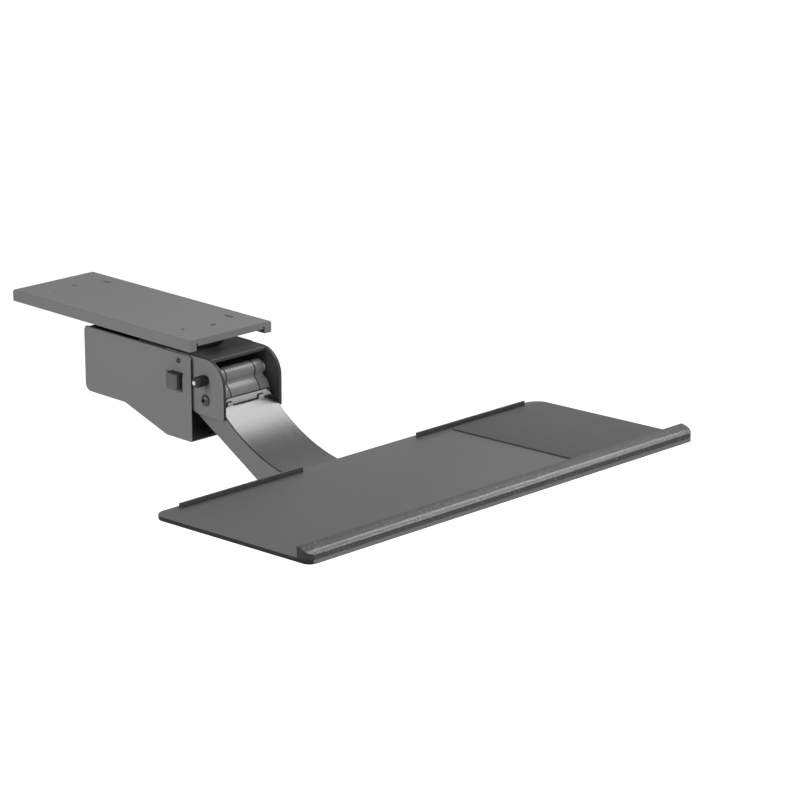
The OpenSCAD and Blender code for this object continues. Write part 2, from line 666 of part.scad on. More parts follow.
module barrel(c, r, x0, x1, edge)
    translate([x0, c[0], c[1]]) rotate([0, 90, 0]) rotate_extrude()
        polygon(concat([[0, 0], [r, 0]], edge == 0 ? [[r, x1 - x0]] :
                       arc([r - edge, x1 - x0 - edge], edge, 0, 90, 6), [[0, x1 - x0]]));
module cover_form(x0, x1, upper_r, lower_r, edge) {
    waist_r = waist_round + cover_upper_r - upper_r;
    waist = meet(lock, upper_r + waist_r, pivot, lower_r + waist_r);
    barrel(lock, upper_r, x0, x1, edge);
    barrel(pivot, lower_r, x0, x1, edge);
    difference() {
        side_plate(x0, x1 - x0 - edge) polygon([lock, waist, pivot]);
        rod(waist, 2 * waist_r, x0 - 1, x1 + 1);
    }
}
module cover_front_only(x0, x1)
    intersection() {
        children();
        translate([x0 - 1, cover_rear - 60, seam_z]) cube([x1 - x0 + 2, 60, 80]);
    }
module pivot_cover_right() color([0.6, 0.6, 0.6]) {
    x0 = cover_split_x + segment_gap / 2;
    x1 = cover_end_x;
    cover_front_only(x0, x1) difference() {
        cover_form(x0, x1, cover_upper_r, cover_lower_r, 3.5);
        cover_form(x0 - 1, x1 - 2 * rib_t, cover_upper_r - cover_t, cover_lower_r - cover_t, 0);
        rod(pivot, sleeve_d + 0.3, x0, x1 + 1);
        rod(pivot, bush_d + 2, x1 - rib_t, x1 + 1);
        rod(lock, shaft_d + 1, x0, x1 + 1);
    }
}
module pivot_cover_left() mirror([1, 0, 0]) pivot_cover_right();
module pivot_cover_middle() color([0.6, 0.6, 0.6]) {
    x1 = cover_split_x - segment_gap / 2;
    rib_x = lug_in_x + lug_t + 1;
    cover_front_only(-x1, x1) difference() {
        cover_form(-x1, x1, cover_upper_r, cover_lower_r, 0);
        for (gap = [[-x1 - 1, -rib_x - rib_t], [-rib_x, rib_x], [rib_x + rib_t, x1 + 1]])
            cover_form(gap[0], gap[1], cover_upper_r - cover_t, cover_lower_r - cover_t, 0);
        rod(pivot, sleeve_d + 0.3, -x1, x1);
        rod(lock, shaft_d + 1, -x1, x1);
    }
}
module sector(r, from, to) translate(pivot) polygon(concat([[0, 0]], arc([0, 0], r, from, to, 16)));
module hinge_guard() color([0.6, 0.6, 0.6]) {
    rib_x = lug_in_x + lug_t + 1;
    top_angle = 180 - asin((seam_z - segment_gap - pivot[1]) / guard_r);
    end_angle = 180 + guard_end;
    difference() {
        union() {
            side_plate(-cover_end_x, 2 * cover_end_x) difference() {
                sector(guard_r + guard_t, top_angle, end_angle);
                translate(pivot) circle(r = guard_r);
            }
            pair() for (x = [rib_x, cover_end_x - 2 * rib_t])
                side_plate(x, rib_t) sector(guard_r + 0.5, top_angle, end_angle - 8);
        }
        rod(pivot, sleeve_d + 0.3, -cover_end_x - 1, cover_end_x + 1);
        side_plate(-link_t / 2 - 2, link_t + 4) sector(2 * guard_r, 205, end_angle + 10);
        pair() translate([cover_end_x, pivot[0] - guard_r + 4, seam_z - segment_gap]) rotate([90, 0, 0])
            linear_extrude(10) polygon([[-guard_corner[0], 1], [-guard_corner[0], 0],
                                        [0, -guard_corner[1]], [1, -guard_corner[1]], [1, 1]]);
    }
}
module lock_shaft() color([0.75, 0.75, 0.77])
    rod(lock, shaft_d, -cheek_x - run_gap - knob_len - 1.8, cheek_x + 5);
module lock_knob() color([0.1, 0.1, 0.1])
    difference() {
        translate([-cheek_x - run_gap, lock[0], lock[1]]) rotate([0, -90, 0]) rotate_extrude()
            polygon(concat([[0, 0], [knob_d / 2 - 1, 0], [knob_d / 2, 1]],
                           arc([knob_d / 2 - 2.5, knob_len - 2.5], 2.5, 0, 90, 6), [[0, knob_len]]));
        rod(lock, shaft_d, -cheek_x - knob_len - 4, -cheek_x + 1);
    }
module brake_cams() color([0.5, 0.5, 0.52])
    pair() difference() {
        rod(lock - [0, cam_throw], 2 * cam_r, arm_in, arm_w / 2);
        rod(lock, shaft_d, arm_in - 1, arm_w / 2 + 1);
    }
module lock_ring() color([0.3, 0.3, 0.32])
    difference() {
        rod(lock, shaft_d * 1.8, cheek_x + run_gap, cheek_x + run_gap + 2);
        rod(lock, shaft_d, cheek_x, cheek_x + 4);
    }

// Arm
module arm_outline(top_cut) difference() {
    polygon(concat(
        arc(pivot, arm_heel_r, arm_slope - 90, 5, 14),
        [on_top(top_cut, heading(pivot - arm_top_c)), arm_top_c],
        arc(tip, arm_tip_r, heading(arm_top_c - tip), belly_end + 360, 14),
        arc(belly_c, arm_belly_r, belly_end, arm_slope - 90, 12)));
    translate(arm_top_c) circle(r = arm_top_r + top_cut);
}
module arm_channel() color([0.42, 0.42, 0.43])
    difference() {
        union() {
            pair() side_plate(arm_in, arm_t) {
                arm_outline(arm_cover_t + seat_gap);
                translate(pivot) circle(r = hub_r);
                translate(tip) circle(r = arm_tip_r);
            }
            side_plate(-arm_in - 0.5, 2 * arm_in + 1) polygon(concat(
                arc(belly_c, arm_belly_r, web_end, arm_slope - 90, 12),
                let (heel = heel_low - 4 * [cos(arm_slope), sin(arm_slope)])
                    [heel, heel + arm_t * [-sin(arm_slope), cos(arm_slope)]],
                arc(belly_c, arm_belly_r - arm_t, arm_slope - 90, web_end, 12)));
        }
        rod(pivot, bush_d, -arm_w, arm_w);
        rod(tip, shaft_d + 2 * pin_gap, -arm_w, arm_w);
    }
function on_top(depth, angle) = arm_top_c + (arm_top_r + depth) * [cos(angle), sin(angle)];
module top_band(inner, outer, from, to) translate(arm_top_c) difference() {
    intersection() {
        circle(r = arm_top_r + outer);
        polygon([[0, 0], for (a = [from, (from + to) / 2, to]) 2 * arm_top_r * [cos(a), sin(a)]]);
    }
    circle(r = arm_top_r + inner);
}
module arm_cover() color([0.75, 0.75, 0.75]) {
    degree = 180 / (PI * arm_top_r);
    last = heading(tip - arm_top_c) + 20 * degree;
    edge_angle = heading(on_top(0, cover_start) - pivot);
    finger = 180 * cover_finger_h / (PI * arm_cover_r);
    full = cover_start - 5 * degree;
    edge = on_top(0, cover_start);
    difference() {
        side_plate(-arm_w / 2, arm_w) top_band(0, arm_cover_t, cover_start, last);
        pair() translate([arm_w / 2, edge[0], edge[1]]) rotate([cover_start + 90, 0, 0])
            translate([0, 0, -3 * arm_cover_t]) linear_extrude(6 * arm_cover_t)
                polygon([[-cover_corner[0], 0], [-cover_corner[0], 1], [1, 1],
                         [1, -cover_corner[1]], [0, -cover_corner[1]]]);
    }
    for (x = cover_finger_x) difference() {
        side_plate(x, cover_finger_w[1]) polygon(concat(
            arc(pivot, arm_cover_r, edge_angle, edge_angle - finger, 8),
            arc(pivot, arm_cover_r - 1.8, edge_angle - finger, edge_angle + 2, 8),
            [on_top(arm_cover_t * 0.9, full - degree), on_top(0.1, full - degree)]));
        translate([x, edge[0], edge[1]]) rotate([cover_start + 90, 0, 0])
            translate([0, 0, -3 * arm_cover_t]) linear_extrude(6 * arm_cover_t)
                polygon([[cover_finger_w[0], cover_finger_h * 1.5], [cover_finger_w[0], cover_finger_h],
                         [cover_finger_w[1], 0], [cover_finger_w[1] + 1, 0],
                         [cover_finger_w[1] + 1, cover_finger_h * 1.5]]);
    }
    pair() {
        side_plate(arm_in - 0.2 - arm_t, arm_t) top_band(arm_cover_t - 0.5, arm_cover_t + 6, full, last);
    }
}
module arm_bushes() color([0.85, 0.85, 0.8])
    pair() difference() {
        rod(pivot, bush_d, cover_end_x - rib_t + 1, arm_w / 2);
        rod(pivot, sleeve_d + 2 * pin_gap, cover_end_x - rib_t, arm_w / 2 + 1);
    }

// Levelling link
module levelling_link() color([0.6, 0.6, 0.62]) {
    half = norm(link_front - link_rear) / 2;
    bow_r = (half * half + link_bow * link_bow) / (2 * link_bow);
    bow_c = meet(link_rear, bow_r, link_front, bow_r);
    from = heading(link_rear - bow_c);
    to = heading(link_front - bow_c);
    difference() {
        union() {
            side_plate(-link_t / 2, link_t)
                polygon(concat(arc(bow_c, bow_r + link_h / 2, from, to, 30),
                               arc(bow_c, bow_r - link_h / 2, to, from, 30)));
            for (end = [link_rear, link_front]) rod(end, link_pin_d + 7, -link_t / 2, link_t / 2);
        }
        for (end = [link_rear, link_front]) rod(end, link_pin_d + 2 * pin_gap, -link_t, link_t);
    }
}

// Tilt head
module tilt_head() color([0.3, 0.3, 0.31]) {
    n = heading(link_front - tilt) - acos((tilt_eye_r - link_eye_r) / norm(link_front - tilt));
    normal = [cos(n), sin(n)];
    share = 0.5;
    difference() {
        union() {
            pair() side_plate(head_in, bracket_t) hull() {
                translate(tip) circle(r = tip_eye_r, $fn = 32);
                translate(tilt) circle(r = tilt_eye_r, $fn = 32);
                translate(link_front) circle(r = link_eye_r, $fn = 32);
            }
            side_plate(-head_in - 0.5, 2 * head_in + 1) {
                near = tilt + tilt_eye_r * normal;
                far = near + share * (link_front + link_eye_r * normal - near);
                polygon([near, far, far - bracket_t * normal, near - bracket_t * normal]);
            }
        }
        rod(tip, shaft_d, -arm_w, arm_w);
        rod(tilt, shaft_d, -arm_w, arm_w);
        rod(link_front, link_pin_d, -arm_w, arm_w);
    }
}
module tip_pin() color([0.7, 0.7, 0.72]) {
    rod(tip, shaft_d, -arm_w / 2 - 2.5, arm_w / 2 + 2.5);
    pair() rod(tip, shaft_d * 1.6, arm_w / 2 + run_gap, arm_w / 2 + 2.5);
}
module front_link_pin() color([0.7, 0.7, 0.72]) rod(link_front, link_pin_d, -head_out, head_out);
module tilt_bolt() color([0.2, 0.2, 0.21]) {
    rod(tilt, shaft_d, -head_out, head_out + 8);
    rod_hexagon(tilt, hex_across, -head_out - 0.8 * hex_nut_h, -head_out);
}
module tilt_nut() color([0.2, 0.2, 0.21])
    difference() {
        rod_hexagon(tilt, hex_across, head_out, head_out + hex_nut_h);
        rod(tilt, shaft_d, head_out - 1, head_out + 8);
    }

// Tray, drawn with its front top edge on the X axis and then set at its tilt
module in_tray() translate([0, tray_front[0], tray_front[1]]) rotate([-board_tilt, 0, 0]) children();
module tray_bracket() color([0.2, 0.2, 0.21])
    in_tray() difference() {
        union() {
            translate([0, 0, bracket_top - bracket_t]) linear_extrude(bracket_t)
                polygon(rounded_rect(-bracket_w / 2, bracket_y - bracket_d / 2, bracket_w / 2,
                                     bracket_y + bracket_d / 2, 12));
            pair() side_plate(ear_out - bracket_t, bracket_t) hull() {
                translate([tilt_pin_back, -tilt_pin_drop]) circle(r = ear_r, $fn = 32);
                translate([tilt_pin_back - 24, bracket_top - bracket_t]) square([44, 1]);
            }
        }
        rod([tilt_pin_back, -tilt_pin_drop], shaft_d + 2 * pin_gap, -arm_w, arm_w);
        for (p = screw_places) translate([p[0], p[1], bracket_top - bracket_t - 1])
            cylinder(d = screw_d, h = bracket_t + 2);
    }
module friction_washers() color([0.85, 0.85, 0.8])
    in_tray() pair() difference() {
        rod([tilt_pin_back, -tilt_pin_drop], 2 * ear_r, ear_out, ear_out + washer_t);
        rod([tilt_pin_back, -tilt_pin_drop], shaft_d + 2 * pin_gap, ear_out - 1, ear_out + 3);
    }
module bracket_screws() color([0.6, 0.6, 0.62])
    in_tray() for (p = screw_places) translate([p[0], p[1], bracket_top - bracket_t]) {
        cylinder(d = screw_d, h = bracket_t + board_t * 0.7);
        translate([0, 0, -2]) cylinder(d1 = screw_d, d2 = screw_d * 2, h = 2);
    }
module board_plan() polygon(rounded_rect(-board_w / 2, 0, board_w / 2, board_d, board_r));
module tray_board() color([0.3, 0.3, 0.31])
    in_tray() difference() {
        translate([0, 0, -board_t]) linear_extrude(board_t) board_plan();
        for (p = screw_places) translate([p[0], p[1], -board_t - 1])
            cylinder(d = screw_d, h = board_t * 0.7 + 1);
    }
module palm_rest() color([0.25, 0.25, 0.26])
    in_tray() intersection() {
        linear_extrude(palm_h) board_plan();
        edge = 5;
        side_plate(-board_w / 2, board_w) polygon(concat(
            [[0, 0], [palm_d, 0]], arc([palm_d - 2, palm_h - 2], 2, 0, 90, 4),
            arc([edge, palm_front_h - edge * 0.2], edge, 115, 180, 8)));
    }
module rear_lip(side) {
    lip_end_x = board_w / 2 - lip_side_inset;
    x0 = lip_shift + (side > 0 ? lip_gap_x : -lip_end_x);
    in_tray() linear_extrude(lip_h) polygon(rounded_rect(x0, lip_y, x0 + lip_end_x - lip_gap_x,
                                                          lip_y + lip_t, lip_t / 2 - 0.1));
}
module rear_lip_left() color([0.22, 0.22, 0.23]) rear_lip(-1);
module rear_lip_right() color([0.22, 0.22, 0.23]) rear_lip(1);
module mouse_mat() color([0.33, 0.33, 0.34])
    in_tray() linear_extrude(mat_t)
        polygon(rounded_rect(mat_x, palm_d + run_gap, board_w / 2 - 4, lip_y - 6, 5));

track();
front_stop();
rear_stop();
stop_rivets();
carriage_plate();
glide_left();
glide_right();
swivel_bearing();
swivel_bolt();
swivel_nut();
swivel_stop_pin();
head_frame();
cheek_left();
cheek_right();
housing();
housing_spacers();
housing_screws();
cable_clip();
clip_cap();
pivot_bolt();
pivot_nut();
pivot_sleeve();
spring_left();
spring_right();
spring_bar();
rear_link_pin();
pivot_cover_left();
pivot_cover_middle();
pivot_cover_right();
hinge_guard();
lock_shaft();
lock_knob();
brake_cams();
lock_ring();
arm_channel();
arm_cover();
arm_bushes();
levelling_link();
tilt_head();
tip_pin();
front_link_pin();
tilt_bolt();
tilt_nut();
tray_bracket();
friction_washers();
bracket_screws();
tray_board();
palm_rest();
rear_lip_left();
rear_lip_right();
mouse_mat();
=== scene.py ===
import math

import bpy
from mathutils import Matrix, Vector


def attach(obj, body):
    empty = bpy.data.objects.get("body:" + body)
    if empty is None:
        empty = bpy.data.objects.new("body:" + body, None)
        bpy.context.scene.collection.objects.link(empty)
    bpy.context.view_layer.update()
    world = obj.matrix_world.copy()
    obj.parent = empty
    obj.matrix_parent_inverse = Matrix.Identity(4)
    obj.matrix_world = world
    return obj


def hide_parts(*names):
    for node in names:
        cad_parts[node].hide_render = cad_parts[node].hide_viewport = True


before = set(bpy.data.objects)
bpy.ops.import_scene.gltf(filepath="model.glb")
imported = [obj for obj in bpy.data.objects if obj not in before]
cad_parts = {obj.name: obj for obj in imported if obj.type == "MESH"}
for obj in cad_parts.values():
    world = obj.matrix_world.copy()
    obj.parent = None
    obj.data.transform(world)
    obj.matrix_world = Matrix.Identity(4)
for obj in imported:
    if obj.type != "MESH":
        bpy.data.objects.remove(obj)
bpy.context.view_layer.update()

# The photograph's view: a long lens, from the front left and a little above.
# The tray hangs from the underside of a desk, which stands 0.74 m over the floor.
camera = bpy.data.objects.new("camera", bpy.data.cameras.new("camera"))
bpy.context.scene.collection.objects.link(camera)
camera.location = (-2.62216, -3.12516, 1.09549)
camera.rotation_euler = (math.radians(73.2274), 0, math.radians(-44.7782))
camera.data.lens = 144.96
camera.data.sensor_width = 36
camera.data.clip_end = 50
bpy.context.scene.camera = camera
bpy.context.scene.view_settings.view_transform = "Standard"


# A pale studio floor and a pale world, both plain white for the camera and in reflections.
def white_where_seen(tree, shown, lit, out):
    rays = tree.nodes.new("ShaderNodeLightPath")
    seen = tree.nodes.new("ShaderNodeMath")
    seen.operation = "MAXIMUM"
    tree.links.new(rays.outputs["Is Camera Ray"], seen.inputs[0])
    shiny = tree.nodes.new("ShaderNodeMath")
    shiny.operation = "MAXIMUM"
    tree.links.new(rays.outputs["Is Glossy Ray"], shiny.inputs[0])
    tree.links.new(rays.outputs["Is Transmission Ray"], shiny.inputs[1])
    tree.links.new(shiny.outputs[0], seen.inputs[1])
    mix = tree.nodes.new("ShaderNodeMixShader")
    tree.links.new(seen.outputs[0], mix.inputs[0])
    tree.links.new(lit.outputs[0], mix.inputs[1])
    tree.links.new(shown.outputs[0], mix.inputs[2])
    tree.links.new(mix.outputs[0], out.inputs["Surface"])


world = bpy.data.worlds.new("studio")
bpy.context.scene.world = world
world.use_nodes = True
world.node_tree.nodes.clear()
ambient = world.node_tree.nodes.new("ShaderNodeBackground")
ambient.inputs["Strength"].default_value = 0.33
backdrop = world.node_tree.nodes.new("ShaderNodeBackground")
backdrop.inputs["Color"].default_value = (1, 1, 1, 1)
world_out = world.node_tree.nodes.new("ShaderNodeOutputWorld")
white_where_seen(world.node_tree, backdrop, ambient, world_out)

bpy.ops.object.select_all(action="DESELECT")
bpy.ops.mesh.primitive_plane_add(size=12, location=(0, 0, -0.74))
floor = bpy.context.object
floor.name = "studio_floor"
floor_finish = bpy.data.materials.new("studio_floor")
floor_finish.use_nodes = True
floor_finish.node_tree.nodes.clear()
floor_paint = floor_finish.node_tree.nodes.new("ShaderNodeBsdfDiffuse")
floor_paint.inputs["Color"].default_value = (0.86, 0.86, 0.86, 1)
floor_glow = floor_finish.node_tree.nodes.new("ShaderNodeEmission")
floor_out = floor_finish.node_tree.nodes.new("ShaderNodeOutputMaterial")
floor_sum = floor_finish.node_tree.nodes.new("ShaderNodeAddShader")
floor_finish.node_tree.links.new(floor_paint.outputs[0], floor_sum.inputs[0])
floor_finish.node_tree.links.new(floor_glow.outputs[0], floor_sum.inputs[1])
floor_glow.inputs["Strength"].default_value = 0.78
white_where_seen(floor_finish.node_tree, floor_sum, floor_paint, floor_out)
floor.data.materials.append(floor_finish)


# Four soft boxes: one overhead, one over the left side, a bright one to the right of the arm that its
# curved cover mirrors, and a large low one in front, wide enough not to glare in the flat board.
def soft_box(name, place, aim, size, power):
    lamp = bpy.data.objects.new(name, bpy.data.lights.new(name, "AREA"))
    bpy.context.scene.collection.objects.link(lamp)
    lamp.location = place
    lamp.rotation_euler = (Vector(aim) - Vector(place)).to_track_quat("-Z", "Y").to_euler()
    lamp.data.shape = "RECTANGLE"
    lamp.data.size, lamp.data.size_y = size
    lamp.data.energy = power


soft_box("box_overhead", (0.3, -0.5, 2.2), (0, -0.35, 0), (2.4, 2.0), 4)
soft_box("box_left", (-1.2, -0.1, 0.45), (0, -0.1, -0.05), (0.6, 0.6), 11)
soft_box("box_right", (0.9, -0.52, 1.0), (0, -0.25, -0.1), (0.64, 0.72), 14)
soft_box("box_front", (-0.3, -2.4, 0.5), (0, -0.3, -0.1), (2.4, 1.6), 32)


# Track: a channel folded from 2.5 mm steel, with a short flange at each end and holes for the desk screws.
# It has a dark grey matt powder coat, a little uneven under the light, as such coats are. The middle
# screw hole of the solid is closed in the dressed piece.
class Wire:
    """A socket of a material, with which sums can be written."""

    def __init__(self, tree, socket=None):
        self.tree = tree
        self.socket = socket

    def node(self, kind, settings=None, sockets=None, out=0):
        made = self.tree.nodes.new("ShaderNode" + kind)
        for name, value in (settings or {}).items():
            if name == "stops":
                while len(made.color_ramp.elements) < len(value):
                    made.color_ramp.elements.new(0.5)
                for stop, (place, grey) in zip(made.color_ramp.elements, value):
                    stop.position = place
                    stop.color = (grey, grey, grey, 1)
            else:
                setattr(made, name, value)
        for name, value in (sockets or {}).items():
            if isinstance(value, Wire):
                self.tree.links.new(value.socket, made.inputs[name])
            else:
                made.inputs[name].default_value = value
        return Wire(self.tree, made.outputs[out])

    def sum(self, operation, a, b):
        return self.node("Math", {"operation": operation}, {0: a, 1: b})

    def __add__(self, other):
        return self.sum("ADD", self, other)

    def __radd__(self, other):
        return self.sum("ADD", other, self)

    def __sub__(self, other):
        return self.sum("SUBTRACT", self, other)

    def __rsub__(self, other):
        return self.sum("SUBTRACT", other, self)

    def __mul__(self, other):
        return self.sum("MULTIPLY", self, other)

    def __rmul__(self, other):
        return self.sum("MULTIPLY", other, self)


def new_finish(name, **constants):
    finish = bpy.data.materials.new(name)
    finish.use_nodes = True
    shader = finish.node_tree.nodes["Principled BSDF"]
    for socket, value in constants.items():
        shader.inputs[socket.replace("_", " ")].default_value = value
    return finish, shader, Wire(finish.node_tree)


def connect(finish, shader, **sockets):
    for socket, value in sockets.items():
        finish.node_tree.links.new(value.socket, shader.inputs[socket.replace("_", " ")])


def speckle(wire, per_metre, detail=2.0, roughness=0.5):
    place = wire.node("TexCoord", out=3)
    return wire.node("TexNoise", sockets={"Vector": place, "Scale": per_metre, "Detail": detail,
                                          "Roughness": roughness})


def between(wire, share, low, high):
    return wire.node("Mix", {"data_type": "RGBA"},
                     {0: share, 6: (*low, 1), 7: (*high, 1)}, out=2)


def powder_coat(name, colour, rough=0.42, grain=0.0002, spread=0.05, **more):
    """Baked powder paint: fine orange peel, colour and gloss that wander a little."""
    finish, shader, wire = new_finish(name, **more)
    drift = speckle(wire, 9, 3.0)
    peel = speckle(wire, 850, 2.0, 0.6)
    low = tuple(c * (1 - spread) for c in colour)
    high = tuple(c * (1 + spread) for c in colour)
    height = wire.node("Bump", sockets={"Strength": 0.25, "Distance": grain, "Height": peel})
    connect(finish, shader, Base_Color=between(wire, drift * 0.7 + peel * 0.3, low, high),
            Roughness=rough - 0.05 + drift * 0.06 + peel * 0.04, Normal=height)
    return finish


def dressed(node, name, body, finish, edge=0.0004, angle=32, steps=2):
    """The CAD piece with its triangles welded, its edges rounded and its curves shaded smooth."""
    piece = bpy.data.objects.new(name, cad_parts[node].data.copy())
    bpy.context.scene.collection.objects.link(piece)
    bpy.ops.object.select_all(action="DESELECT")
    bpy.context.view_layer.objects.active = piece
    piece.select_set(True)
    bpy.ops.object.mode_set(mode="EDIT")
    bpy.ops.mesh.select_all(action="SELECT")
    bpy.ops.mesh.remove_doubles(threshold=0.000002)
    bpy.ops.mesh.dissolve_limited(angle_limit=math.radians(0.4))
    bpy.ops.object.mode_set(mode="OBJECT")
    if edge:
        rounding = piece.modifiers.new("edges", "BEVEL")
        rounding.width = edge
        rounding.segments = steps
        rounding.limit_method = "ANGLE"
        rounding.angle_limit = math.radians(angle)
        rounding.use_clamp_overlap = True
        bpy.ops.object.modifier_apply(modifier="edges")
    bpy.ops.object.shade_smooth_by_angle(angle=math.radians(38))
    flats = piece.modifiers.new("flats", "WEIGHTED_NORMAL")
    flats.keep_sharp = True
    bpy.ops.object.modifier_apply(modifier="flats")
    piece.data.materials.clear()
    piece.data.materials.append(finish)
    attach(piece, body)
    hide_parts(node)
    return piece


def repaint(piece, paint, chosen):
    """Gives another finish to the faces that chosen picks by their middle and their normal."""
    piece.data.materials.append(paint)
    for face in piece.data.polygons:
        if chosen(face.center, face.normal):
            face.material_index = len(piece.data.materials) - 1


grey_coat = powder_coat("grey_powder_coat", (0.165, 0.165, 0.168), 0.42, Specular_IOR_Level=0.02)
channel = dressed("track", "track_channel", "track", grey_coat, 0.0005)
bpy.ops.object.mode_set(mode="EDIT")
bpy.ops.mesh.select_mode(type="FACE")
bpy.ops.mesh.select_all(action="DESELECT")
bpy.ops.object.mode_set(mode="OBJECT")
hole_x, hole_y, hole_reach = -0.038, 0, 0.0045
for face in channel.data.polygons:
    rim = [channel.data.vertices[k].co for k in face.vertices]
    face.select = all(math.hypot(co.x - hole_x, co.y - hole_y) < hole_reach for co in rim)
bpy.ops.object.mode_set(mode="EDIT")
bpy.ops.mesh.delete(type="FACE")
bpy.ops.mesh.select_mode(type="EDGE")
bpy.ops.mesh.select_non_manifold(extend=False)
bpy.ops.mesh.fill_holes(sides=0)
bpy.ops.object.mode_set(mode="OBJECT")


# Slide stops: rubber blocks near both ends of the channel, each held by two zinc rivets whose studs are
# welded to the underside of the channel.
def rubber(name, colour):
    finish, shader, wire = new_finish(name, Specular_IOR_Level=0.3)
    dust = speckle(wire, 300, 4.0)
    connect(finish, shader, Base_Color=between(wire, dust, tuple(c * 0.8 for c in colour),
                                               tuple(c * 1.4 for c in colour)),
            Roughness=dust * 0.2 + 0.62,
            Normal=wire.node("Bump", sockets={"Strength": 0.3, "Distance": 0.0002, "Height": dust}))
    return finish


def plated(name, colour, rough=0.3):
    """Zinc plate: metal with a faint cloudy bloom."""
    finish, shader, wire = new_finish(name, Metallic=1.0)
    cloud = speckle(wire, 160, 4.0, 0.6)
    connect(finish, shader, Base_Color=between(wire, cloud, tuple(c * 0.86 for c in colour), colour),
            Roughness=cloud * 0.16 + (rough - 0.08),
            Normal=wire.node("Bump", sockets={"Strength": 0.15, "Distance": 0.0001, "Height": cloud}))
    return finish


stop_rubber = rubber("stop_rubber", (0.03, 0.03, 0.03))
zinc = plated("zinc_plate", (0.62, 0.62, 0.64))
dressed("front_stop", "slide_stop_front", "track", stop_rubber, 0.0008)
dressed("rear_stop", "slide_stop_rear", "track", stop_rubber, 0.0008)
dressed("stop_rivets", "slide_stop_rivets", "track", zinc, 0.0002)


# Carriage: a zinc-plated plate with a pressed cup, on two nylon glides that run on the track's lips.
# A plastic disc bears the head, and a bolt with a flanged nut and a stop pin is its swivel.
def plain_plastic(name, colour, rough=0.45, grain=0.00008, **more):
    finish, shader, wire = new_finish(name, **more)
    mottle = speckle(wire, 500, 3.0)
    connect(finish, shader, Base_Color=between(wire, mottle, tuple(c * 0.92 for c in colour),
                                               tuple(c * 1.06 for c in colour)),
            Roughness=mottle * 0.1 + (rough - 0.05),
            Normal=wire.node("Bump", sockets={"Strength": 0.2, "Distance": grain, "Height": mottle}))
    return finish


nylon = plain_plastic("natural_nylon", (0.74, 0.73, 0.68), 0.4)
black_plastic = plain_plastic("black_plastic", (0.012, 0.012, 0.0125), 0.34, Specular_IOR_Level=0.2)
dressed("carriage_plate", "carriage_plate_pressed", "carriage", zinc, 0.0005)
dressed("glide_left", "glide_rail_left", "carriage", nylon, 0.0003)
dressed("glide_right", "glide_rail_right", "carriage", nylon, 0.0003)
dressed("swivel_bearing", "swivel_disc", "carriage", black_plastic, 0.0005)
dressed("swivel_bolt", "swivel_bolt_hex", "carriage", zinc, 0.0004)
dressed("swivel_nut", "swivel_nut_flanged", "carriage", zinc, 0.0004)
dressed("swivel_stop_pin", "swivel_pin", "carriage", zinc, 0.0004)


# Head: a U bracket of 2.5 mm steel with a black satin coat, and a grey cheek plate, black at its cut
# edges, on each wall.
# The bracket turns under the carriage, and everything else of the head is bolted to it.
black_coat = powder_coat("black_powder_coat", (0.038, 0.038, 0.0385), 0.42, spread=0.12,
                         Specular_IOR_Level=0.15)
dressed("head_frame", "head_bracket", "head", black_coat, 0.0006)
edge_black = plain_plastic("edge_black", (0.012, 0.012, 0.0122), 0.5, Specular_IOR_Level=0.12)
for side in ("left", "right"):
    cheek = dressed("cheek_" + side, "cheek_plate_" + side, "head", grey_coat, 0.0004)
    repaint(cheek, edge_black, lambda middle, normal: abs(normal.x) < 0.6)


# Housing: a trough folded from 1.6 mm steel that closes the rear of the head, coated as the track is.
# It stands off the cheeks on spacers and is held by one cross-head screw a side.
housing_coat = powder_coat("housing_powder_coat", (0.165, 0.165, 0.168), 0.38, Specular_IOR_Level=0.05)
hardware = plain_plastic("black_oxide", (0.028, 0.028, 0.029), 0.34, 0.00005, Specular_IOR_Level=0.33)
shell = dressed("housing", "rear_housing", "head", housing_coat, 0.0005, angle=16)
repaint(shell, edge_black, lambda middle, normal: normal.y < -0.8 and abs(normal.z) < 0.3)
dressed("housing_spacers", "housing_standoffs", "head", zinc, 0.0003)
dressed("housing_screws", "housing_screws_cross", "head", hardware, 0.0002)


# Clip: a small moulded block with a black cap, snapped to the left side of the housing. Its front
# faces are painted black, a painted shade on the side away from the light.
clip_grey = plain_plastic("clip_plastic", (0.07, 0.07, 0.0715), 0.3, Specular_IOR_Level=0.3)
clip = dressed("cable_clip", "side_clip", "head", clip_grey, 0.0012, steps=3)
# Painted shade: the faces that look to the front are black plastic.
repaint(clip, black_plastic, lambda middle, normal: normal.y < -0.5)
dressed("clip_cap", "side_clip_cap", "head", black_plastic, 0.0004)


# Pivot: a black button-head bolt through the cheeks, its nut, and the sleeve that the arm turns on.
# Two torsion springs of round wire lie round the sleeve, with their upper legs under a cross bar.
dressed("pivot_bolt", "pivot_bolt_button", "head", hardware, 0.0003)
dressed("pivot_nut", "pivot_nut_hex", "head", hardware, 0.0004)
dressed("pivot_sleeve", "pivot_sleeve_lugs", "head", zinc, 0.0003)
dressed("rear_link_pin", "link_pin_rear", "head", zinc, 0.0003)
dressed("spring_bar", "spring_cross_bar", "head", zinc, 0.0003)
spring_wire = plated("oiled_spring_wire", (0.2, 0.2, 0.21), 0.34)
coil_radius, wire_radius, coil_start, coil_run, coil_turns = 0.0155, 0.0015, 0.0135, 0.0226, 5.5
pivot_axis = (0, -0.1845, -0.08)
bpy.ops.object.select_all(action="DESELECT")
bpy.ops.mesh.primitive_circle_add(vertices=12, radius=wire_radius, rotation=(math.radians(90), 0, 0),
                                  location=(coil_start, pivot_axis[1], pivot_axis[2] + coil_radius))
coil = bpy.context.object
bpy.ops.object.transform_apply(location=True, rotation=True, scale=True)
coil.data.transform(Matrix.Translation(pivot_axis).inverted())
winding = coil.modifiers.new("winding", "SCREW")
winding.axis = "X"
winding.angle = math.radians(360 * coil_turns)
winding.screw_offset = coil_run
winding.steps = winding.render_steps = 132
bpy.ops.object.modifier_apply(modifier="winding")
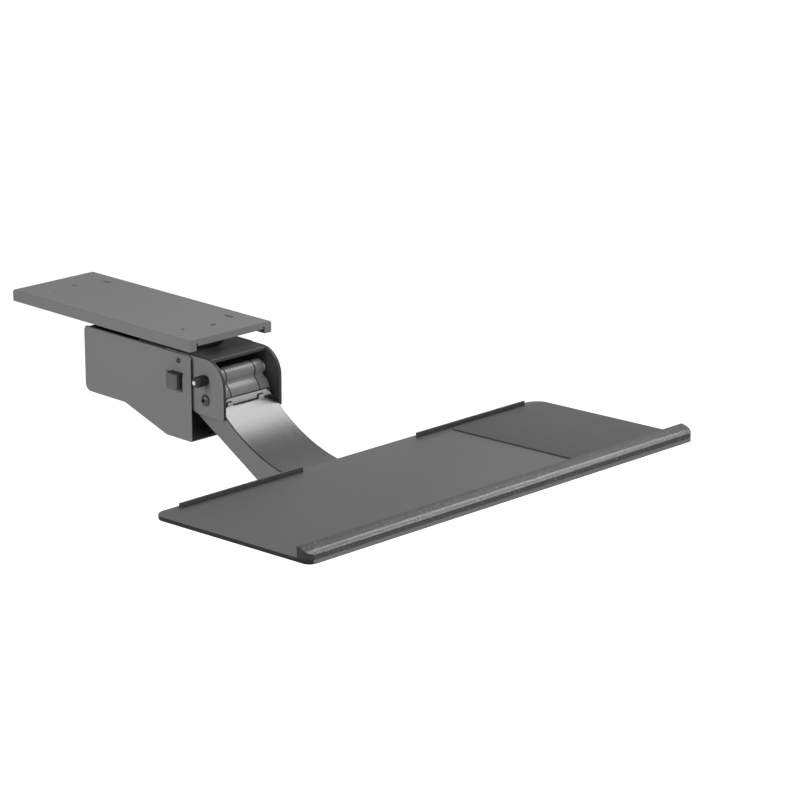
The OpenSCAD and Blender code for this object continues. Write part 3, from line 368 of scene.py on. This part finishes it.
upper_leg, lower_leg = 0.020, 0.014
for at_end, leg in ((False, upper_leg), (True, lower_leg)):
    bpy.ops.object.mode_set(mode="EDIT")
    bpy.ops.mesh.select_mode(type="VERT")
    bpy.ops.mesh.select_all(action="DESELECT")
    bpy.ops.object.mode_set(mode="OBJECT")
    for point in coil.data.vertices:
        near = coil_start + coil_run if at_end else coil_start
        level = -coil_radius if at_end else coil_radius
        point.select = (abs(point.co.x - near) < wire_radius + 1e-5 and abs(point.co.y) < 1e-5
                        and abs(point.co.z - level) < wire_radius + 1e-5)
    bpy.ops.object.mode_set(mode="EDIT")
    bpy.ops.mesh.extrude_region_move(TRANSFORM_OT_translate={"value": (0, leg, 0)})
    bpy.ops.mesh.edge_face_add()
    bpy.ops.mesh.select_all(action="SELECT")
    bpy.ops.mesh.normals_make_consistent(inside=False)
    bpy.ops.object.mode_set(mode="OBJECT")
bpy.ops.object.shade_smooth_by_angle(angle=math.radians(50))
coil.data.transform(Matrix.Translation(pivot_axis))
for side in ("left", "right"):
    spring = bpy.data.objects.new("torsion_spring_" + side, coil.data.copy())
    bpy.context.scene.collection.objects.link(spring)
    if side == "left":
        spring.data.transform(Matrix.Scale(-1, 4, (1, 0, 0)))
        spring.data.flip_normals()
    spring.data.materials.append(spring_wire)
    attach(spring, "head")
    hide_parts("spring_" + side)
bpy.data.objects.remove(coil)


# Pivot cover: three segments of grey half-gloss moulding that wrap the two cross shafts, and below
# them the guard that shuts the gap to the arm.
cover_grey = plain_plastic("cover_plastic", (0.14, 0.14, 0.142), 0.34, Specular_IOR_Level=0.28)
guard_grey = plain_plastic("guard_plastic", (0.38, 0.38, 0.384), 0.3)
for side in ("left", "middle", "right"):
    dressed("pivot_cover_" + side, "wrap_cover_" + side, "head", cover_grey, 0.0004)
dressed("hinge_guard", "hinge_guard_shell", "head", guard_grey, 0.0003)

# Shade strips: thin black rubber in the two joints of the cover, a slice of its own section that stands
# 0.25 mm proud, and a bead of the same rubber along the guard's upper edge. Both are painted shade:
# black lines where the joints and the guard's edge lie in shade.
# Black rubber used for painted shade: the joint strips, the guard bead, the wiper's margin and the palm's
# ends.
painted_shade_rubber = rubber("painted_shade_rubber", (0.014, 0.014, 0.014))
split, strip_half = 0.0244, 0.0007
for side, facing in (("left", -1), ("right", 1)):
    strip = bpy.data.objects.new("joint_strip_" + side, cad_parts["pivot_cover_middle"].data.copy())
    bpy.context.scene.collection.objects.link(strip)
    bpy.ops.object.select_all(action="DESELECT")
    bpy.context.view_layer.objects.active = strip
    strip.select_set(True)
    bpy.ops.object.mode_set(mode="EDIT")
    bpy.ops.mesh.select_all(action="SELECT")
    bpy.ops.mesh.remove_doubles(threshold=0.000002)
    bpy.ops.mesh.bisect(plane_co=(facing * (split - strip_half), 0, 0), plane_no=(facing, 0, 0),
                        clear_inner=True, use_fill=True)
    bpy.ops.object.mode_set(mode="OBJECT")
    for corner in strip.data.vertices:
        if abs(corner.co.x) > split - 0.0003:
            corner.co.x = facing * (split + strip_half)
    bpy.ops.object.mode_set(mode="EDIT")
    bpy.ops.mesh.select_all(action="SELECT")
    bpy.ops.mesh.normals_make_consistent(inside=False)
    bpy.ops.transform.shrink_fatten(value=0.00025)
    bpy.ops.object.mode_set(mode="OBJECT")
    strip.data.materials.clear()
    strip.data.materials.append(painted_shade_rubber)
    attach(strip, "head")
# The bead is a painted shadow line along the guard's upper edge.
bead_place, bead_size = (0, -0.2054, -0.0773), (0.0836, 0.0024, 0.0011)
bpy.ops.object.select_all(action="DESELECT")
bpy.ops.mesh.primitive_cube_add(size=1, location=bead_place, scale=bead_size)
bead = bpy.context.object
bead.name = "painted_shade_bead"
bpy.ops.object.transform_apply(location=True, rotation=True, scale=True)
bead_round = bead.modifiers.new("round", "BEVEL")
bead_round.width, bead_round.segments = 0.0004, 3
bpy.ops.object.modifier_apply(modifier="round")
bpy.ops.object.shade_smooth_by_angle(angle=math.radians(50))
bead.data.materials.append(painted_shade_rubber)
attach(bead, "head")


# Lock: the cross shaft, blackened but for its bright end face, the black knob on it, two brake cams
# and a ring.
shaft = dressed("lock_shaft", "lock_cross_shaft", "lock", zinc, 0.0022, steps=4)
repaint(shaft, hardware, lambda middle, normal: middle.x < -0.05 and normal.x > -0.97)
dressed("lock_knob", "lock_knob_round", "lock", black_plastic, 0.0005)
dressed("brake_cams", "brake_cam_pair", "lock", zinc, 0.0003)
dressed("lock_ring", "lock_shaft_ring", "lock", hardware, 0.0003)


# Arm: a curved channel of 2.2 mm steel with deep sides, and the bright cover that closes its top.
arm_coat = powder_coat("arm_paint", (0.1, 0.1, 0.102), 0.42)
cover_coat = powder_coat("arm_cover_paint", (0.012, 0.012, 0.0123), 0.26, spread=0.03,
                         Specular_IOR_Level=0.64)
pivot_y, pivot_z = pivot_axis[1:]
hub_reach, cover_edge_x = 0.02447, 0.0443
dressed("arm_channel", "arm_side_channel", "arm", arm_coat, 0.0005)
top_cover = dressed("arm_cover", "arm_top_cover", "arm", cover_coat, 0.0004)
# Painted highlight: the cover's upper end and its two fingers round the hub take the guard's lighter grey,
# as bright as the lit face of the cover.
repaint(top_cover, guard_grey, lambda middle, normal: (
    math.hypot(middle.y - pivot_y, middle.z - pivot_z) < hub_reach and abs(normal.x) < 0.5))
# Painted shade: the cover's side edges are black, a dark line for the shade in the groove beside the
# channel.
repaint(top_cover, edge_black, lambda middle, normal: (
    abs(middle.x) > cover_edge_x and abs(normal.x) > 0.3))
dressed("arm_bushes", "arm_pivot_bushes", "arm", nylon, 0.0003)

# Wiper: a black rubber sheet under the cover's upper edge and its two fingers, which it follows 1 mm
# further out. It brushes over the guard as the arm moves. The black margin that shows beyond the
# cover's edge and fingers is painted shade, a dark line for the shadow of the gap.
def cut_across(piece, axis, places):
    """Cuts the active piece by planes across an axis, so that it can be shaped between them."""
    bpy.ops.object.mode_set(mode="EDIT")
    for place in places:
        bpy.ops.mesh.select_all(action="SELECT")
        at = [0, 0, 0]
        at[axis] = place
        normal = [0, 0, 0]
        normal[axis] = 1
        bpy.ops.mesh.bisect(plane_co=at, plane_no=normal)
    bpy.ops.object.mode_set(mode="OBJECT")


wiper_r, edge_turn, shown = 0.02325, math.radians(199.006), 0.0013
finger_starts, finger_height, finger_foot, finger_top = (-0.034, 0.019), 0.0055, 0.010, 0.0055
bpy.ops.object.select_all(action="DESELECT")
bpy.ops.mesh.primitive_plane_add(size=1)
wiper = bpy.context.object
wiper.name = "edge_shade_wiper"
reach = finger_height + shown
for corner in wiper.data.vertices:
    corner.co = (corner.co.x * 0.082, (corner.co.y + 0.5) * (reach + 0.002) - 0.002, 0)
cut_across(wiper, 0, [x for start in finger_starts for x in (start - shown, start + finger_foot + shown)])
cut_across(wiper, 1, [shown, 0.003, 0.0045])
bpy.ops.object.mode_set(mode="EDIT")
bpy.ops.mesh.select_mode(type="FACE")
bpy.ops.mesh.select_all(action="DESELECT")
bpy.ops.object.mode_set(mode="OBJECT")
for face in wiper.data.polygons:
    beside = all(abs(face.center.x - start - finger_foot / 2) > finger_foot / 2 + shown
                 for start in finger_starts)
    face.select = face.center.y > shown and beside
bpy.ops.object.mode_set(mode="EDIT")
bpy.ops.mesh.delete(type="FACE")
bpy.ops.object.mode_set(mode="OBJECT")
for corner in wiper.data.vertices:
    for start in finger_starts:
        if corner.co.y > shown and abs(corner.co.x - start - finger_foot - shown) < 0.00001:
            corner.co.x -= (finger_foot - finger_top) * (corner.co.y - shown) / finger_height
    turn = edge_turn - corner.co.y / wiper_r
    corner.co = (corner.co.x, pivot_y + wiper_r * math.cos(turn), pivot_z + wiper_r * math.sin(turn))
wiper_wall = wiper.modifiers.new("wall", "SOLIDIFY")
wiper_wall.thickness, wiper_wall.offset = 0.0009, 0
bpy.ops.object.modifier_apply(modifier="wall")
bpy.ops.object.shade_smooth_by_angle(angle=math.radians(40))
# Painted shade: the wiper's black margin beyond the cover's edge and fingers.
wiper.data.materials.append(painted_shade_rubber)
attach(wiper, "arm")


# Levelling link: a bowed flat bar between two eyes that keeps the tray level as the arm moves.
dressed("levelling_link", "levelling_bar", "link", zinc, 0.0005)


# Tilt head: a folded black bracket between the arm's tip, the link and the tray's tilt bolt.
dressed("tilt_head", "tilt_bracket", "tilt_head", black_coat, 0.0005)
dressed("tip_pin", "arm_tip_pin", "tilt_head", zinc, 0.0004)
dressed("front_link_pin", "link_pin_front", "tilt_head", zinc, 0.0003)
dressed("tilt_bolt", "tilt_bolt_hex", "tilt_head", hardware, 0.0004)
dressed("tilt_nut", "tilt_nut_hex", "tilt_head", hardware, 0.0004)


# Tray bracket: a black plate with two ears, screwed under the board, with nylon washers at the tilt.
dressed("tray_bracket", "tray_plate_bracket", "tray", black_coat, 0.0005)
dressed("friction_washers", "tilt_friction_washers", "tray", nylon, 0.0001)
dressed("bracket_screws", "bracket_pan_screws", "tray", zinc, 0.0002)


# Tray board: 5 mm compact laminate, dark grey and satin, with a fine printed grain and eased edges.
# Its sides are painted black, a painted shade, and its front edge a lighter grey, a painted highlight.
# Its front corners are tighter than those of the solid.
def laminate(name, colour):
    finish, shader, wire = new_finish(name)
    grain = speckle(wire, 1400, 2.0, 0.7)
    drift = speckle(wire, 6, 2.0)
    connect(finish, shader, Base_Color=between(wire, grain * 0.6 + drift * 0.4,
                                               tuple(c * 0.9 for c in colour),
                                               tuple(c * 1.12 for c in colour)),
            Roughness=grain * 0.08 + drift * 0.05 + 0.44,
            Normal=wire.node("Bump", sockets={"Strength": 0.12, "Distance": 0.0001, "Height": grain}))
    return finish


board_finish = laminate("board_laminate", (0.034, 0.034, 0.0345))
tray_front_y, tray_front_z, tray_slope = -0.671449, -0.103206, math.radians(-2)
tray_place = Matrix.Translation((0, tray_front_y, tray_front_z)) @ Matrix.Rotation(tray_slope, 4, "X")
board_half, solid_corner, front_corner = 0.328, 0.020, 0.011
board = dressed("tray_board", "tray_board_laminate", "tray", board_finish, 0.0008, steps=3)
board.data.transform(tray_place.inverted())
for corner in board.data.vertices:
    if abs(corner.co.x) > board_half - solid_corner - 0.0001 and corner.co.y < solid_corner + 0.0001:
        side = math.copysign(1, corner.co.x)
        share = front_corner / solid_corner
        inward = board_half - abs(corner.co.x) - solid_corner
        corner.co.x = side * (board_half - front_corner - share * inward)
        corner.co.y = front_corner + share * (corner.co.y - solid_corner)
board.data.transform(tray_place)
painted_edge_highlight = plain_plastic("painted_edge_highlight", (0.12, 0.12, 0.122), 0.4, Specular_IOR_Level=0.15)
# Painted shade: all the board's edges are black first.
repaint(board, edge_black, lambda middle, normal: abs(normal.z) < 0.8)
# Painted highlight: the front edge then takes the lighter grey.
repaint(board, painted_edge_highlight, lambda middle, normal: normal.y < -0.9 and abs(normal.z) < 0.8)


# Palm rest: a firm foam bar along the front edge, skinned in speckled dark leatherette. It is glued
# to the board, follows its rounded corners, and slopes down to the user behind a soft ridge.
palm_depth, palm_rear, palm_front = 0.0209, 0.0135, 0.0070


def outline_slab(name, x0, y0, x1, y1, corners, height):
    """A slab on the tray with rounded corners: corners gives the radius at each, from front left round."""
    bpy.ops.object.select_all(action="DESELECT")
    bpy.ops.mesh.primitive_plane_add(size=1, location=((x0 + x1) / 2, (y0 + y1) / 2, 0))
    slab = bpy.context.object
    slab.name = name
    slab.scale = (x1 - x0, y1 - y0, 1)
    bpy.ops.object.transform_apply(location=True, rotation=False, scale=True)
    middle = ((x0 + x1) / 2, (y0 + y1) / 2)
    order = [(-1, -1), (1, -1), (1, 1), (-1, 1)]
    for (sx, sy), radius in zip(order, corners):
        if not radius:
            continue
        target = (x0 if sx < 0 else x1, y0 if sy < 0 else y1)
        bpy.ops.object.mode_set(mode="EDIT")
        bpy.ops.mesh.select_mode(type="VERT")
        bpy.ops.mesh.select_all(action="DESELECT")
        bpy.ops.object.mode_set(mode="OBJECT")
        for corner in slab.data.vertices:
            corner.select = abs(corner.co.x - target[0]) < 1e-6 and abs(corner.co.y - target[1]) < 1e-6
        bpy.ops.object.mode_set(mode="EDIT")
        bpy.ops.mesh.bevel(offset=radius, segments=10, affect="VERTICES", profile=0.5)
        bpy.ops.object.mode_set(mode="OBJECT")
    bpy.ops.object.mode_set(mode="EDIT")
    bpy.ops.mesh.select_mode(type="FACE")
    bpy.ops.mesh.select_all(action="SELECT")
    bpy.ops.mesh.extrude_region_move(TRANSFORM_OT_translate={"value": (0, 0, height)})
    bpy.ops.mesh.select_all(action="SELECT")
    bpy.ops.mesh.normals_make_consistent(inside=False)
    bpy.ops.object.mode_set(mode="OBJECT")
    return slab


def lay_on_tray(piece, finish, node):
    piece.data.transform(tray_place)
    piece.data.materials.clear()
    piece.data.materials.append(finish)
    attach(piece, "tray")
    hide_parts(node)


palm = outline_slab("palm_rest_bar", -board_half, 0, board_half, palm_depth,
                    (front_corner, front_corner, 0, 0), palm_rear)
cut_across(palm, 0, [-0.3 + 0.03 * k for k in range(21)])
cut_across(palm, 2, [0.0013])
cut_across(palm, 1, [0.0004, 0.0010, 0.0018, 0.0028, 0.0075, 0.0120, 0.0165, 0.0195])
nose = 0.0028
for corner in palm.data.vertices:
    if corner.co.z > 0.002:
        depth = max(0.0, min(1.0, (corner.co.y - nose) / (palm_depth - 0.0015 - nose)))
        crown = 0.0006 * math.sin(math.pi * depth)
        drop = nose - math.sqrt(max(0.0, nose ** 2 - max(0.0, nose - corner.co.y) ** 2))
        corner.co.z = palm_front + (palm_rear - palm_front) * depth + crown - drop
palm_edges = palm.modifiers.new("soft_edges", "BEVEL")
palm_edges.width = 0.0016
palm_edges.segments = 4
palm_edges.limit_method = "ANGLE"
palm_edges.angle_limit = math.radians(40)
bpy.ops.object.modifier_apply(modifier="soft_edges")
bpy.ops.object.shade_smooth_by_angle(angle=math.radians(50))


def leatherette(name, colour, light, rough, shine):
    finish, shader, wire = new_finish(name, Specular_IOR_Level=shine)
    place = wire.node("TexCoord", out=3)
    cells = wire.node("TexVoronoi", {"feature": "DISTANCE_TO_EDGE"}, {"Vector": place, "Scale": 620.0})
    pores = wire.node("ValToRGB", {"stops": [(0.0, 0.0), (0.12, 1.0)]}, {"Fac": cells})
    flecks = speckle(wire, 300, 3.0, 0.7)
    bright = wire.node("ValToRGB", {"stops": [(0.58, 0.0), (0.72, 1.0)]}, {"Fac": flecks})
    height = wire.node("Bump", sockets={"Strength": 0.5, "Distance": 0.0003, "Height": pores})
    connect(finish, shader, Base_Color=between(wire, bright * 0.7, colour, light),
            Roughness=rough - pores * 0.1, Normal=height)
    return finish


palm_skin = leatherette("palm_leatherette", (0.02, 0.02, 0.0203), (0.16, 0.16, 0.162), 0.5, 0.3)
# The ridge takes a lighter and glossier copy of the skin: its lighter colour is a painted highlight along
# the ridge.
palm_ridge = leatherette("palm_ridge_highlight", (0.03, 0.03, 0.0305), (0.16, 0.16, 0.162), 0.36, 0.75)
lay_on_tray(palm, palm_skin, "palm_rest")
repaint(palm, palm_ridge, lambda middle, normal: -0.93 < normal.y < -0.4 and abs(normal.x) < 0.3)
# Painted shade: the palm's two ends are near-black rubber, darker than the skin.
repaint(palm, painted_shade_rubber, lambda middle, normal: abs(normal.x) > 0.35 and abs(middle.x) > 0.316)


# Rear lips: two low black strips let into the board's back edge, with a gap for the cables between.
lip_plastic = plain_plastic("lip_plastic", (0.05, 0.05, 0.051), 0.42, Specular_IOR_Level=0.15)
dressed("rear_lip_left", "back_lip_left", "tray", lip_plastic, 0.0008)
dressed("rear_lip_right", "back_lip_right", "tray", lip_plastic, 0.0008)


# Mouse mat: a thin foam-backed mat with a fine matt face, stuck to the right of the board.
mat_left, mat_right, mat_front, mat_rear, mat_corner, mat_thick = 0.155, 0.324, 0.0213, 0.255, 0.005, 0.0015
mat = outline_slab("mouse_mat_pad", mat_left, mat_front, mat_right, mat_rear, (mat_corner,) * 4, mat_thick)
mat_edge = mat.modifiers.new("soft_edge", "BEVEL")
mat_edge.width = 0.0005
mat_edge.segments = 3
mat_edge.limit_method = "ANGLE"
mat_edge.angle_limit = math.radians(40)
bpy.ops.object.modifier_apply(modifier="soft_edge")
bpy.ops.object.shade_smooth_by_angle(angle=math.radians(50))
mat_finish, mat_shader, mat_wire = new_finish("mat_face", Specular_IOR_Level=0.2)
weave = speckle(mat_wire, 1800, 2.0, 0.8)
connect(mat_finish, mat_shader,
        Base_Color=between(mat_wire, weave, (0.036, 0.036, 0.037), (0.056, 0.056, 0.057)),
        Roughness=weave * 0.1 + 0.55,
        Normal=mat_wire.node("Bump", sockets={"Strength": 0.4, "Distance": 0.0002, "Height": weave}))
lay_on_tray(mat, mat_finish, "mouse_mat")
